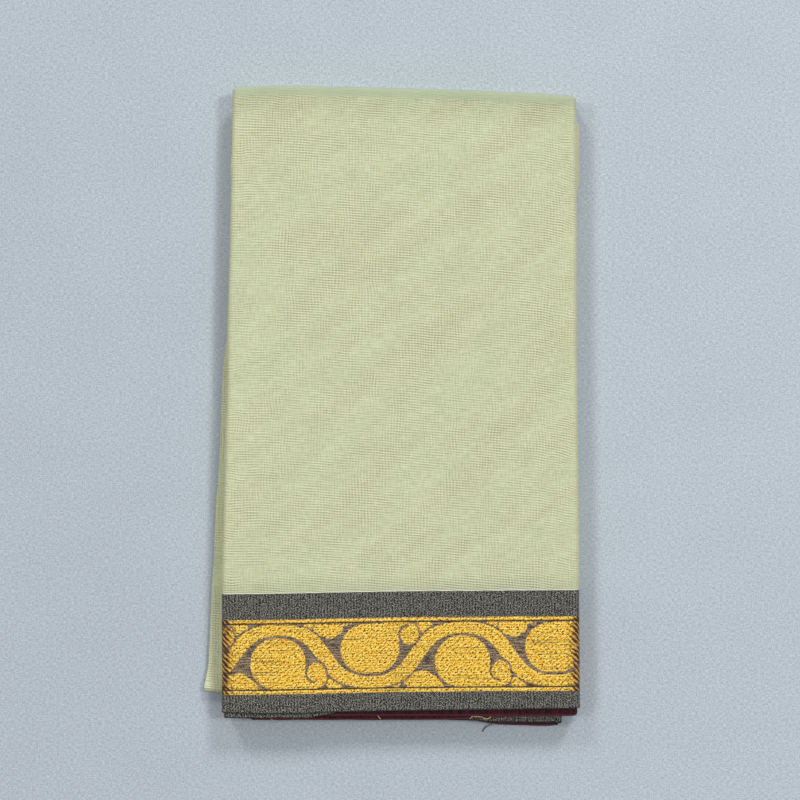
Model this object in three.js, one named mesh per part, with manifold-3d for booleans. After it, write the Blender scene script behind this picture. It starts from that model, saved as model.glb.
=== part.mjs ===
// A folded cotton saree, lying flat: one uncut cloth, 32 plies deep.
// Millimetres, +Z up. +Y points to the back, where the width is folded in two, and both selvedges
// lie at the front. The right side is the last fold, and the left side is the open one.
import * as THREE from 'three';
import { mergeVertices } from 'three/addons/utils/BufferGeometryUtils.js';
import Module from 'manifold-3d';

// Driving sizes of the pack
const packHeight = 22;
const quarter = packHeight / 4;
const wall = 1.2;
const gap = 0.3;
const cornerCut = 2.5;
const backBow = 4;
const corners = {
  backLeft: { x: -154.5, y: 305.5 },
  backRight: { x: 176.5, y: 299 },
  frontRight: { x: 181, y: -290 },
  frontLeft: { x: -165, y: -293.5 },
};

// Woven bands of the border, by their distance from the selvedge
const bands = [
  { name: 'charcoal_outer', from: 0, to: 16, colour: 0x595854 },
  { name: 'zari', from: 16, to: 88.5, colour: 0xc99a4a },
  { name: 'charcoal_inner', from: 88.5, to: 113.5, colour: 0x595854 },
  { name: 'field', from: 113.5, to: 640, colour: 0xcbd3ab },
];

// Rolls that the folds make on each side, by their height in the pack. reach is how far a roll stands
// out from the side of the top ply, depth is how far its curve runs in.
const rolls = {
  right: [
    { low: 0, high: packHeight, reach: 0, depth: 7 },
  ],
  back: [
    { low: 0, high: quarter, reach: -1, depth: 3 },
    { low: quarter, high: 2 * quarter, reach: -2.5, depth: 2.6 },
    { low: 2 * quarter, high: 3 * quarter, reach: -1.5, depth: 2.6 },
    { low: 3 * quarter, high: packHeight, reach: 0, depth: 4 },
  ],
  left: [
    { low: 0, high: 1.35, reach: -3, depth: 0.4 },
    { low: 1.35, high: 4.05, reach: -1, depth: 1.8 },
    { low: 4.05, high: quarter, reach: -2, depth: 0.8 },
    { low: quarter, high: 1.5 * quarter, reach: -0.5, depth: 1.8 },
    { low: 1.5 * quarter, high: 2 * quarter, reach: -2, depth: 1.8 },
    { low: 2 * quarter, high: packHeight, reach: 0, depth: 5 },
  ],
};
const rollAngles = [-90, -55, -25, 0, 25, 55, 90];
const leastRingStep = 0.12;

// Shares of the way along each side at which the outline has a point, from its first corner on
const outlineShares = {
  front: [0, 0.33, 0.67, 1],
  right: [0.35, 0.7],
  back: [0, 0.2, 0.4, 0.6, 0.8, 1],
  left: [0.3, 0.65],
};

// Selvedge edges of the inner plies, from the top one down. The three reaches are how far each stands
// out past the top ply's selvedge at the left end, the middle and the right end. rightIn is how far its
// right end lies in from the outer ply, because the lower plies lie skewed.
const selvedges = [
  { colour: 'charcoal', low: 19.5, high: 20.5, left: 7, middle: -2, right: -4, rightIn: 0 },
  { colour: 'maroon', low: 16.65, high: 19.2, left: 3, middle: 5.5, right: 8.5, rightIn: 2 },
  { colour: 'maroon', low: 13.9, high: 16.35, left: 9, middle: 10, right: 6, rightIn: 2 },
  { colour: 'charcoal', low: 11.15, high: 13.6, left: 5, middle: 9, right: 17, rightIn: 16 },
  { colour: 'charcoal', low: 8.4, high: 10.85, left: 3, middle: 10, right: 16, rightIn: 16 },
  { colour: 'maroon', low: 5.65, high: 8.1, left: 6, middle: 13, right: 20.5, rightIn: 20 },
  { colour: 'maroon', low: 2.9, high: 3.9, left: 4, middle: 9, right: 14, rightIn: 8 },
  { colour: 'charcoal', low: 1.5, high: 2.6, left: 2, middle: 5, right: 9, rightIn: 0 },
];
const selvedgeDepth = 32;
const selvedgeSteps = 8;
const edgeColours = { charcoal: 0x4c4a49, maroon: 0x4b1c2a };

// Plain end of the cloth, between the left folds: its corners from above, and its height. It lies
// skewed, so that it comes out of the pack at the front left, and its corner there flares.
const plainEnd = {
  low: 4.2,
  high: 5.35,
  outline: [
    { x: 120, y: 150 },
    { x: -156, y: 130 },
    { x: -180.5, y: -256 },
    { x: -184.5, y: -271 },
    { x: -183.5, y: -276 },
    { x: 120, y: -273.5 },
  ],
};

// Width of the strips of the outer ply that belong to the back and left folds
const foldZone = 9;

// Sizes of the cutting blocks, which only have to reach past the pack
const past = 40;
const wide = 400;

const wasm = await Module();
wasm.setup();

// Turns a closed geometry into a solid that can be cut and joined
function solidOf(geometry) {
  const bare = new THREE.BufferGeometry();
  bare.setAttribute('position', geometry.getAttribute('position').clone());
  if (geometry.index) bare.setIndex(geometry.index.clone());
  const merged = mergeVertices(bare, 1e-4);
  const vertProperties = new Float32Array(merged.getAttribute('position').array);
  const triVerts = new Uint32Array(merged.index.array);
  return new wasm.Manifold(new wasm.Mesh({ numProp: 3, vertProperties, triVerts }));
}

// Turns a solid back into a geometry
function geometryOf(solid) {
  const { vertProperties, triVerts } = solid.getMesh();
  const geometry = new THREE.BufferGeometry();
  geometry.setAttribute('position', new THREE.BufferAttribute(new Float32Array(vertProperties), 3));
  geometry.setIndex(new THREE.BufferAttribute(new Uint32Array(triVerts), 1));
  geometry.computeVertexNormals();
  return geometry;
}

// A straight line from a to b, read at a share of the way
const between = (a, b, share) => a + (b - a) * share;

// The four sides of the top ply seen from above
function leftX(y) {
  const { backLeft, frontLeft } = corners;
  return between(frontLeft.x, backLeft.x, (y - frontLeft.y) / (backLeft.y - frontLeft.y));
}

function rightX(y) {
  const { backRight, frontRight } = corners;
  return between(frontRight.x, backRight.x, (y - frontRight.y) / (backRight.y - frontRight.y));
}

function backY(x) {
  const { backLeft, backRight } = corners;
  const share = (x - backLeft.x) / (backRight.x - backLeft.x);
  const bow = backBow * Math.sin(Math.PI * Math.min(Math.max(share, 0), 1));
  return between(backLeft.y, backRight.y, share) + bow;
}

function frontY(x) {
  const { frontLeft, frontRight } = corners;
  return between(frontLeft.y, frontRight.y, (x - frontLeft.x) / (frontRight.x - frontLeft.x));
}

// How far a side lies in from the top ply's edge at a height, for the form shrunk all round by shrink
function inset(side, z, shrink) {
  const found = rolls[side].find((roll) => z <= roll.high) ?? rolls[side].at(-1);
  const half = (found.high - found.low) / 2 - shrink;
  const middle = (found.high + found.low) / 2;
  const share = half > 0 ? Math.min(Math.abs(z - middle) / half, 1) : 1;
  return shrink - found.reach + found.depth * (1 - Math.sqrt(1 - share * share));
}

// Heights at which the form has a ring, so that each roll keeps its curve
function ringHeights(shrink) {
  const heights = [shrink, packHeight - shrink];
  for (const roll of Object.values(rolls).flat()) {
    const half = (roll.high - roll.low) / 2 - shrink;
    if (half <= 0) continue;
    for (const angle of rollAngles) {
      const height = (roll.high + roll.low) / 2 + half * Math.sin(THREE.MathUtils.degToRad(angle));
      heights.push(Math.min(Math.max(height, shrink), packHeight - shrink));
    }
  }
  heights.sort((a, b) => a - b);
  return heights.filter((height, i) => i === 0 || height - heights[i - 1] > leastRingStep);
}

// One ring of the form, from the front left corner round by the right
function ring(z, shrink, frontInset) {
  const left = inset('left', z, shrink);
  const right = inset('right', z, shrink);
  const back = inset('back', z, shrink);
  const { frontLeft, frontRight, backRight, backLeft } = corners;
  const points = [];
  const frontLeftX = leftX(frontLeft.y + frontInset) + left;
  const frontRightX = rightX(frontRight.y + frontInset) - right;
  const backRightX = backRight.x - right;
  const backLeftX = backLeft.x + left;
  for (const share of outlineShares.front) {
    const x = between(frontLeftX, frontRightX, share);
    points.push(new THREE.Vector2(x, frontY(x) + frontInset));
  }
  for (const share of outlineShares.right) {
    const y = between(frontRight.y, backRight.y, share);
    points.push(new THREE.Vector2(rightX(y) - right, y));
  }
  const backRightY = backY(backRightX) - back;
  points.push(new THREE.Vector2(rightX(backRightY - cornerCut) - right, backRightY - cornerCut));
  for (const share of outlineShares.back) {
    const x = between(backRightX - cornerCut, backLeftX + cornerCut, share);
    points.push(new THREE.Vector2(x, backY(x) - back));
  }
  const backLeftY = backY(backLeftX) - back;
  points.push(new THREE.Vector2(leftX(backLeftY - cornerCut) + left, backLeftY - cornerCut));
  for (const share of outlineShares.left) {
    const y = between(backLeft.y, frontLeft.y, share);
    points.push(new THREE.Vector2(leftX(y) + left, y));
  }
  return points;
}

// The whole pack as one closed form, shrunk all round. frontInset moves its front by itself.
function packForm(shrink, frontInset) {
  const heights = ringHeights(shrink);
  const positions = [];
  const indices = [];
  for (const z of heights) {
    for (const point of ring(z, shrink, frontInset)) positions.push(point.x, point.y, z);
  }
  const count = positions.length / 3 / heights.length;
  for (let level = 0; level < heights.length - 1; level++) {
    for (let i = 0; i < count; i++) {
      const here = level * count + i;
      const next = level * count + ((i + 1) % count);
      indices.push(here, next, next + count, here, next + count, here + count);
    }
  }
  const bottom = ring(heights[0], shrink, frontInset);
  const top = ring(heights.at(-1), shrink, frontInset);
  const topStart = (heights.length - 1) * count;
  for (const [a, b, c] of THREE.ShapeUtils.triangulateShape(bottom, [])) indices.push(a, c, b);
  for (const [a, b, c] of THREE.ShapeUtils.triangulateShape(top, [])) {
    indices.push(topStart + a, topStart + b, topStart + c);
  }
  const geometry = new THREE.BufferGeometry();
  geometry.setAttribute('position', new THREE.Float32BufferAttribute(positions, 3));
  geometry.setIndex(indices);
  return solidOf(geometry);
}

// An upright block with the given outline, seen from above
function block(outline, low, high) {
  const shape = new THREE.Shape(outline.map((point) => new THREE.Vector2(point.x, point.y)));
  const geometry = new THREE.ExtrudeGeometry(shape, { depth: high - low, bevelEnabled: false });
  geometry.translate(0, 0, low);
  return solidOf(geometry);
}

// A block along the selvedge, between two distances from it
function bandBlock(from, to) {
  return block([
    { x: -wide, y: frontY(-wide) + from },
    { x: wide, y: frontY(wide) + from },
    { x: wide, y: frontY(wide) + to },
    { x: -wide, y: frontY(-wide) + to },
  ], -past, past);
}

// A block as wide as everything, between two heights
function layerBlock(low, high) {
  return block([
    { x: -wide, y: -wide },
    { x: wide, y: -wide },
    { x: wide, y: wide },
    { x: -wide, y: wide },
  ], low, high);
}

// A block along the left fold, as wide as the fold zone, that ends short of the back corner by endIn
function leftZone(low, high, endIn) {
  const { frontLeft, backLeft } = corners;
  return block([
    { x: frontLeft.x - past, y: frontLeft.y - past },
    { x: frontLeft.x + foldZone, y: frontLeft.y - past },
    { x: backLeft.x + foldZone, y: backLeft.y - endIn },
    { x: backLeft.x - past, y: backLeft.y - endIn },
  ], low, high);
}

// A block along the back fold, short of the left and right folds by startIn and endIn
function backZone(low, high, startIn, endIn) {
  const { backLeft, backRight } = corners;
  return block([
    { x: backLeft.x + startIn, y: backLeft.y - foldZone },
    { x: backRight.x - endIn, y: backRight.y - foldZone },
    { x: backRight.x - endIn, y: backRight.y + past },
    { x: backLeft.x + startIn, y: backLeft.y + past },
  ], low, high);
}

const saree = new THREE.Group();

function addNode(name, solid, colour) {
  const material = new THREE.MeshStandardMaterial({ color: colour, roughness: 0.85, metalness: 0 });
  const mesh = new THREE.Mesh(geometryOf(solid), material);
  mesh.name = name;
  saree.add(mesh);
}

const halfGap = gap / 2;
const middle = packHeight / 2;
const insideFold = foldZone + gap;
const whole = packForm(0, 0);
const outerPly = whole.subtract(packForm(wall, -selvedgeDepth));

// The top stretch: the outermost ply above the middle of the right fold, down to the same height at
// the left fold, and down to the second quarter at the back. Its border is woven in bands.
const topPly = outerPly
  .subtract(layerBlock(-past, middle + halfGap))
  .subtract(backZone(middle, 3 * quarter + halfGap, foldZone, foldZone));

// The under stretch: the ply that the pack lies on, with the lower half of the right fold and the
// lowest roll of the back fold. It ends free at the left.
const underPly = outerPly
  .subtract(layerBlock(middle - halfGap, past))
  .subtract(leftZone(wall, packHeight, foldZone))
  .subtract(backZone(quarter - halfGap, packHeight, -wide, foldZone));

for (const band of bands) {
  const strip = bandBlock(band.from + halfGap, band.to - halfGap);
  addNode(`top_${band.name}`, topPly.intersect(strip), band.colour);
  addNode(`under_${band.name}`, underPly.intersect(strip), band.colour);
}

// The rolls of the second and third quarter in the back fold. The second lies between the two sides,
// and the third reaches the open left side.
const fieldColour = bands.at(-1).colour;
const backFolds = [
  { name: 'back_fold_2', low: 2 * quarter, high: 3 * quarter, startIn: insideFold },
  { name: 'back_fold_3', low: quarter, high: 2 * quarter, startIn: -foldZone },
];
for (const { name, low, high, startIn } of backFolds) {
  const strip = backZone(low + halfGap, high - halfGap, startIn, insideFold);
  addNode(name, outerPly.intersect(strip), fieldColour);
}

// The rolls of the lower half in the left fold, which end short of the back fold
const leftFolds = [
  { name: 'left_fold_upper', low: 1.5 * quarter + halfGap, high: 2 * quarter - halfGap },
  { name: 'left_fold_middle', low: quarter + halfGap, high: 1.5 * quarter - halfGap },
  { name: 'left_fold_lower', low: wall + gap, high: plainEnd.low - gap },
];
for (const { name, low, high } of leftFolds) {
  addNode(name, outerPly.intersect(leftZone(low, high, insideFold + cornerCut)), fieldColour);
}

// The plain end of the cloth, which sticks out at the left
addNode('plain_end', block(plainEnd.outline, plainEnd.low, plainEnd.high), fieldColour);

// The selvedge edges of the inner plies, fanned out at the front
selvedges.forEach((edge, i) => {
  const shrink = wall + gap;
  const sideInset = (side) => Math.max(inset(side, edge.low, shrink), inset(side, edge.high, shrink));
  const start = corners.frontLeft.x + sideInset('left');
  const endInset = sideInset('right') + edge.rightIn;
  const end = corners.frontRight.x - endInset;
  const outline = [];
  for (let step = 0; step <= selvedgeSteps; step++) {
    const share = step / selvedgeSteps;
    const x = between(start, end, share);
    const bend = 4 * share * (1 - share) * (edge.middle - (edge.left + edge.right) / 2);
    outline.push({ x, y: frontY(x) - between(edge.left, edge.right, share) - bend });
  }
  const rightBackY = frontY(end) + selvedgeDepth;
  const leftBackY = frontY(start) + selvedgeDepth;
  outline.push({ x: rightX(rightBackY) - endInset, y: rightBackY });
  outline.push({ x: leftX(leftBackY) + sideInset('left'), y: leftBackY });
  addNode(`selvedge_${i + 1}_${edge.colour}`, block(outline, edge.low, edge.high),
    edgeColours[edge.colour]);
});

// The hidden plies, one rounded solid with a layered edge, cut away for the plain end
const slot = plainEnd.outline.map((point) => ({
  x: point.x + Math.sign(point.x) * gap,
  y: point.y + Math.sign(point.y) * gap,
}));
const hidden = packForm(wall + gap, selvedgeDepth + gap)
  .subtract(block(slot, plainEnd.low - gap, plainEnd.high + gap));
addNode('inner_plies', hidden, fieldColour);

// The origin lies under the middle of the pack's box, on the surface that it rests on
const box = new THREE.Box3().setFromObject(saree);
const centre = box.getCenter(new THREE.Vector3());
saree.position.set(-centre.x, -centre.y, -box.min.z);

export default saree;
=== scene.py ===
"""A cotton saree with a gold border, folded flat for the shelf and lying on a pale cloth."""
import math
import bmesh
import bpy
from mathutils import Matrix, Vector, noise


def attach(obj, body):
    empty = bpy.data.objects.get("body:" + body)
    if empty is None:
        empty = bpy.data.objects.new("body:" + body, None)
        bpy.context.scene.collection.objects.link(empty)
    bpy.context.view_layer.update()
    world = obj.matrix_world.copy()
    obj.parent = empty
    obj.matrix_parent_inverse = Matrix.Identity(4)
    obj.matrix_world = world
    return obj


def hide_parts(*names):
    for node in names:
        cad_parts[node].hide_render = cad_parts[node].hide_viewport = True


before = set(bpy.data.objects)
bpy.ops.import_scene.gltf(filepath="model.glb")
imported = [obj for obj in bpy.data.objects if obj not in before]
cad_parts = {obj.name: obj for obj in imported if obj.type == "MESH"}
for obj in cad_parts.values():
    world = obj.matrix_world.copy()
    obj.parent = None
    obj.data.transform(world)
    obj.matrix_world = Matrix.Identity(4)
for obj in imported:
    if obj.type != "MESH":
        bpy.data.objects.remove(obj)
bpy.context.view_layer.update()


# Camera: straight above the pack, with the selvedges at the bottom of the picture and the back fold
# at the top. It stands far enough off that the pack's sides hardly show.
camera_height = 1.45
camera_over = (0.0085, 0.0088)


def into_scene(name, shape):
    made = bpy.data.objects.new(name, shape)
    bpy.context.collection.objects.link(made)
    return made


overhead_lens = bpy.data.cameras.new("overhead_camera")
overhead_lens.sensor_width = 36
overhead_lens.lens = 66.6
overhead_lens.clip_start = 0.01
overhead_camera = into_scene("overhead_camera", overhead_lens)
overhead_camera.location = (*camera_over, camera_height)
bpy.context.scene.camera = overhead_camera
bpy.context.scene.view_settings.view_transform = "Standard"


# Top stretch, field: the outermost ply of the folded length, sheer pistachio cotton in plain weave.
# It comes up round the right fold, lies over the pack, turns round the left fold on the ply below
# and is rolled over at the back, where the width is folded in half.
cloth_thickness = 0.0004
pack_height = 0.022
# Outlines of the pack seen from above: y and x along the sides, x and y along the front and back.
left_edge = [(-0.300, -0.1641), (-0.177, -0.1639), (-0.126, -0.1631), (-0.082, -0.1619),
             (-0.045, -0.1606), (-0.015, -0.1600), (0.014, -0.1589), (0.045, -0.1588),
             (0.105, -0.1579), (0.153, -0.1563), (0.222, -0.1548), (0.236, -0.1557),
             (0.250, -0.1544), (0.298, -0.1538), (0.320, -0.1536)]
right_edge = [(-0.300, 0.1830), (-0.145, 0.1826), (0.009, 0.1809), (0.076, 0.1800),
              (0.233, 0.1801), (0.301, 0.1798), (0.320, 0.1796)]
band_line = [(-0.170, -0.2922), (-0.117, -0.2918), (0.0085, -0.2893), (0.133, -0.2884),
             (0.190, -0.2882)]
selvedge_bulge = [(-0.170, 0.0007), (-0.150, 0.0013), (-0.136, 0.0021), (-0.088, 0.0027),
                  (-0.049, 0.0017), (0.0085, 0.0019), (0.100, 0.0015), (0.190, 0.0004)]
back_line = [(-0.165, 0.3084), (-0.153, 0.3103), (-0.146, 0.3112), (-0.127, 0.3125), (-0.091, 0.3129),
             (-0.054, 0.3117), (-0.014, 0.3108), (0.065, 0.3087), (0.150, 0.3049), (0.170, 0.3034),
             (0.1755, 0.3023), (0.190, 0.2994)]
front_y = -0.290
border_width = 0.1135
field_run = 0.486
back_roll = 0.0024
left_depth = 0.005
left_fold_height = 0.011
left_steps = 14
inner_turn = 0.006
spine_depth = 0.009
spine_lobe = 0.0043
spine_steps = 24
under_turn = 0.005
narrow_row = 0.0003
field_steps = 96


def follow(line, at):
    """The value of a line drawn through these points."""
    for (start, first), (end, second) in zip(line, line[1:]):
        if at <= end:
            share = min(max((at - start) / (end - start), 0.0), 1.0)
            return first + (second - first) * share
    return line[-1][1]


def soft_step(value):
    value = min(max(value, 0.0), 1.0)
    return value * value * (3 - 2 * value)


def rounded(turn, depth, high, fullness):
    """A point of a fold's section. It is fuller than an ellipse where fullness is below one."""
    across, up = math.cos(turn), math.sin(turn)
    return (depth * math.copysign(abs(across) ** fullness, across),
            high * math.copysign(abs(up) ** fullness, up))


def outer_path(y, top_steps):
    """Stations across the outer ply, from its turn inside the left fold, over the top and round the
    right spine to the underside: x, z, the way out, and the length along the cloth. Near the back
    the plies inside push the spine out in a low lobe."""
    arc_x = follow(left_edge, y) + left_depth
    arc_high = left_fold_height / 2
    arc_z = pack_height - arc_high
    spine_x = follow(right_edge, y) - spine_depth
    spine_high = pack_height / 2
    lobe = spine_lobe * soft_step((y - 0.19) / 0.05) * (1 - soft_step((y - 0.285) / 0.012))
    path = [(arc_x + inner_turn, arc_z - arc_high), (arc_x + inner_turn / 2, arc_z - arc_high)]
    for step in range(left_steps + 1):
        across, up = rounded(math.pi * (step / left_steps - 0.5), left_depth, arc_high, 0.85)
        path.append((arc_x - across, arc_z + up))
    level = len(path) - 1
    path += [(arc_x + (spine_x - arc_x) * step / top_steps, pack_height) for step in range(1, top_steps)]
    for step in range(spine_steps + 1):
        turn = math.pi * (0.5 - step / spine_steps)
        across, up = rounded(turn, spine_depth, spine_high, 0.70)
        lobes = 1.2 * math.exp(-((turn + 0.66) / 0.32) ** 2)
        lobes -= 0.8 * math.exp(-((turn + 0.02) / 0.22) ** 2)
        path.append((spine_x + across + lobe * lobes, spine_high + up))
    path += [(spine_x - under_turn / 2, 0.0), (spine_x - under_turn, 0.0)]
    lengths = [0.0]
    for before, after in zip(path, path[1:]):
        lengths.append(lengths[-1] + math.hypot(after[0] - before[0], after[1] - before[1]))
    stations = []
    for number, (x, z) in enumerate(path):
        before, after = path[max(number - 1, 0)], path[min(number + 1, len(path) - 1)]
        out = Vector((before[1] - after[1], after[0] - before[0])).normalized()
        stations.append((x, z, out.x, out.y, path[level][0] + lengths[number] - lengths[level]))
    return stations


# Soft hollows and ridges of the top ply: start, end, half width and height.
hand_creases = [
    ((-0.078, 0.117), (0.067, 0.228), 0.009, -0.00030),
    ((0.010, 0.122), (0.048, 0.160), 0.007, -0.00024),
    ((0.013, 0.039), (0.115, 0.093), 0.008, 0.00030),
    ((-0.025, -0.006), (0.034, 0.038), 0.007, -0.00028),
    ((-0.131, -0.049), (-0.107, -0.036), 0.006, -0.00024),
    ((-0.059, -0.053), (-0.029, -0.029), 0.006, 0.00022),
    ((0.003, -0.053), (0.066, 0.001), 0.007, -0.00028),
    ((0.037, -0.096), (0.100, -0.048), 0.008, 0.00026),
    ((-0.150, 0.301), (-0.138, 0.288), 0.0016, -0.00060),
    ((-0.140, 0.300), (-0.080, 0.3025), 0.0016, -0.00045),
    ((-0.090, 0.3015), (0.000, 0.3010), 0.0015, -0.00030),
    ((0.010, 0.2990), (0.110, 0.2950), 0.0015, -0.00035),
    ((0.172, 0.294), (0.150, 0.288), 0.0018, -0.00060),
    ((0.150, 0.2915), (0.095, 0.2960), 0.0015, -0.00040),
    ((0.176, 0.280), (0.173, 0.240), 0.0026, 0.00045),
    ((-0.152, 0.250), (-0.147, 0.215), 0.0030, 0.00055),
    ((-0.150, 0.120), (-0.148, 0.020), 0.0030, 0.00030),
    ((0.168, 0.060), (0.170, -0.080), 0.0030, 0.00030),
    ((-0.136, -0.292), (-0.120, -0.262), 0.0060, 0.00050),
    ((-0.088, -0.292), (-0.070, -0.270), 0.0060, 0.00045),
    ((0.120, -0.288), (0.128, -0.270), 0.0050, 0.00040),
]


def crease_height(x, y):
    height = 0.0
    for (x0, y0), (x1, y1), half_width, rise in hand_creases:
        along_x, along_y = x1 - x0, y1 - y0
        length = math.hypot(along_x, along_y)
        along = ((x - x0) * along_x + (y - y0) * along_y) / length
        aside = abs((x - x0) * along_y - (y - y0) * along_x) / length
        if aside > 3 * half_width or along < -0.3 * length or along > 1.3 * length:
            continue
        middle = abs(along / length - 0.5) * 2
        height += rise * math.exp(-(aside / half_width) ** 2) * (1 - soft_step((middle - 0.3) / 1.3))
    return height


def ply_lie(u, y):
    """How far the top ply lies above or below level: broad and small swells, and the creases."""
    broad = noise.noise(Vector((u * 11, y * 8, 3.1)))
    small = noise.noise(Vector((u * 45, y * 32, 7.7)))
    ripple = noise.noise(Vector((u * 120, y * 60, 1.7)))
    return 0.00045 * broad + 0.00016 * small + 0.00005 * ripple + crease_height(u, y)


def outer_rows(start, end, spacing):
    """Rows of the outer ply from one distance off the selvedge to another, with a narrow row at each
    edge, so that the cloth stays flat up to the next weave; past the border the rows share out the
    field, then follow the back roll and its turn inside."""
    if end is not None:
        count = max(1, round((end - start) / spacing))
        inner = [start + (end - start) * step / count for step in range(1, count)]
        return [("band", v) for v in (start, start + narrow_row, *inner, end - narrow_row, end)]
    count = round(field_run / spacing)
    rows = [("field", 0.0), ("field", narrow_row / field_run)]
    rows += [("field", step / count) for step in range(1, count + 1)]
    rows += [("roll", math.pi * step / 12) for step in range(1, 13)]
    return rows + [("inside", 0.004), ("inside", 0.008)]


def outer_place(stations_of, row, index, raised=1.0):
    """Where a station of a row lies: its point and its place on the flat cloth."""
    kind, value = row
    near_y = {"band": front_y + value, "field": front_y + border_width + field_run * value,
              "roll": 0.305, "inside": 0.300}[kind]
    x, z, out_x, out_z, u = stations_of(near_y)[index]
    front = follow(band_line, x)
    turn_y = follow(back_line, x) - back_roll
    field_depth = turn_y - front - border_width
    drop = 0.0
    if kind == "band":
        y, v = front + value - follow(selvedge_bulge, x) * (1 - soft_step(value / 0.011)), value
    elif kind == "field":
        y, v = front + border_width + field_depth * value, border_width + field_depth * value
    elif kind == "roll":
        y, v = turn_y + back_roll * math.sin(value), border_width + field_depth + back_roll * value
        drop = back_roll * (1 - math.cos(value))
    else:
        y, v = turn_y - value, border_width + field_depth + back_roll * math.pi + value
        drop = back_roll * 2
    lie = raised * ply_lie(u, y if kind in ("band", "field") else turn_y)
    return Vector((x + out_x * (lie - drop), y, z + out_z * (lie - drop))), u, v


def off_folds(point):
    """How far a point of the outer ply is from the back fold and from the nearer side fold, where the
    finishes paint shade. The roll's lower half counts as inside its rim, clear of the rim's painted
    shadow, and the pack's lower half as its side."""
    side = min(point.x - follow(left_edge, point.y), follow(right_edge, point.y) - point.x)
    back = follow(back_line, point.x) - point.y
    if point.z < pack_height - back_roll:
        back = max(back, 0.005)
    return back, side if point.z > 0.010 else 0.0


def woven_sheet(name, stations, rows, place, materials, which=None, offset=-1.0, figure=None,
                outermost=False):
    """A sheet of cloth: a flat grid of stations by rows, laid in its folded shape by place(). Which
    picks the weave, figure is its pattern, and the outermost ply is marked near its folds."""
    sheet = bmesh.new()
    bmesh.ops.create_grid(sheet, x_segments=stations - 1, y_segments=len(rows) - 1, size=0.5)
    thread_map = sheet.loops.layers.uv.new("threads")
    figure_layer = sheet.verts.layers.float.new("figure") if figure else None
    back_layer = sheet.verts.layers.float.new("off_back")
    side_layer = sheet.verts.layers.float.new("off_side")
    on_cloth = {}
    for vertex in sheet.verts:
        station = round((vertex.co.x + 0.5) * (stations - 1))
        row = round((vertex.co.y + 0.5) * (len(rows) - 1))
        vertex.co, u, v = place(station, rows[row])
        on_cloth[vertex] = (u, v)
        vertex[back_layer], vertex[side_layer] = off_folds(vertex.co) if outermost else (1.0, 1.0)
        if figure:
            vertex[figure_layer] = figure(u, v)
    for face in sheet.faces:
        face.smooth = True
        if which:
            face.material_index = which(sum(on_cloth[corner][1] for corner in face.verts) / 4)
        for loop in face.loops:
            loop[thread_map].uv = on_cloth[loop.vert]
    mesh = bpy.data.meshes.new(name)
    sheet.to_mesh(mesh)
    sheet.free()
    for material in materials:
        mesh.materials.append(material)
    made = into_scene(name, mesh)
    shell = made.modifiers.new("cloth_thickness", "SOLIDIFY")
    shell.thickness = cloth_thickness
    shell.offset = offset
    shell.use_even_offset = False
    return made


def remembered(work_out):
    """A function of a row's y that works out each y only once."""
    known = {}

    def found(y):
        if y not in known:
            known[y] = work_out(y)
        return known[y]
    return found


def add_node(kind, inputs=None, tree=None, **settings):
    """A shader node with its settings, and values or links on its inputs. It goes into the tree
    that its links come from, or else into the one that is given."""
    inputs = inputs or {}
    for value in inputs.values():
        if isinstance(value, bpy.types.NodeSocket):
            tree = value.id_data
    made = tree.nodes.new(kind)
    for setting, value in settings.items():
        setattr(made, setting, value)
    for socket, value in inputs.items():
        if isinstance(value, bpy.types.NodeSocket):
            tree.links.new(value, made.inputs[socket])
        else:
            made.inputs[socket].default_value = value
    return made


def mixed(factor, first, second, how="MIX"):
    both = add_node("ShaderNodeMix", {0: factor, 6: first, 7: second}, data_type="RGBA", blend_type=how)
    return both.outputs[2]


def ranged(value, low, high, to_low=0.0, to_high=1.0):
    """A value taken from one range to another, and held at its ends."""
    limits = {"From Min": low, "From Max": high, "To Min": to_low, "To Max": to_high}
    return add_node("ShaderNodeMapRange", {"Value": value, **limits}).outputs["Result"]


def summed(first, second, how="ADD"):
    """Two values added, or worked out together in another way."""
    return add_node("ShaderNodeMath", {0: first, 1: second}, operation=how).outputs[0]


def times(first, second):
    return summed(first, second, "MULTIPLY")


def laid_over(colour, tints):
    """Tints laid over a colour one after another, each by its own share."""
    for share, tint in tints:
        colour = mixed(share, colour, tint)
    return colour


def carried(threads, name):
    """A value that the cloth's own points carry."""
    return add_node("ShaderNodeAttribute", tree=threads.id_data, attribute_name=name).outputs["Fac"]


def thread_noise(threads, size_u, size_v, turned=0.0, detail=1.5, seed=0.0, rough=0.5):
    """Uneven threads: noise drawn out to streaks of this size in metres, along the length and off
    the selvedge. Turned is the angle of the streaks on the cloth."""
    turned_map = add_node("ShaderNodeMapping",
                          {"Vector": threads, "Rotation": (0, 0, turned), "Location": (seed, seed, 0)})
    drawn_out = add_node("ShaderNodeMapping",
                         {"Vector": turned_map.outputs[0], "Scale": (1 / size_u, 1 / size_v, 1)})
    return add_node("ShaderNodeTexNoise", {"Vector": drawn_out.outputs[0], "Scale": 1.0,
                                           "Detail": detail, "Roughness": rough},
                    noise_dimensions="2D").outputs["Fac"]


def start_finish(name, roughness):
    """A finish, and its shader."""
    finish = bpy.data.materials.new(name)
    finish.use_nodes = True
    shader = finish.node_tree.nodes["Principled BSDF"]
    shader.inputs["Roughness"].default_value = roughness
    return finish, shader


def start_cloth(name, roughness, sheen):
    """A cloth finish: a shader with the soft sheen of cotton fibre, its thread map, and how far a
    thread is from the selvedge."""
    finish, shader = start_finish(name, roughness)
    shader.inputs["Sheen Weight"].default_value = sheen
    shader.inputs["Sheen Roughness"].default_value = 0.5
    shader.inputs["Specular IOR Level"].default_value = 0.3
    threads = add_node("ShaderNodeUVMap", tree=shader.id_data, uv_map="threads").outputs[0]
    off_selvedge = add_node("ShaderNodeSeparateXYZ", {0: threads}).outputs[1]
    return finish, shader, threads, off_selvedge


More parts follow.
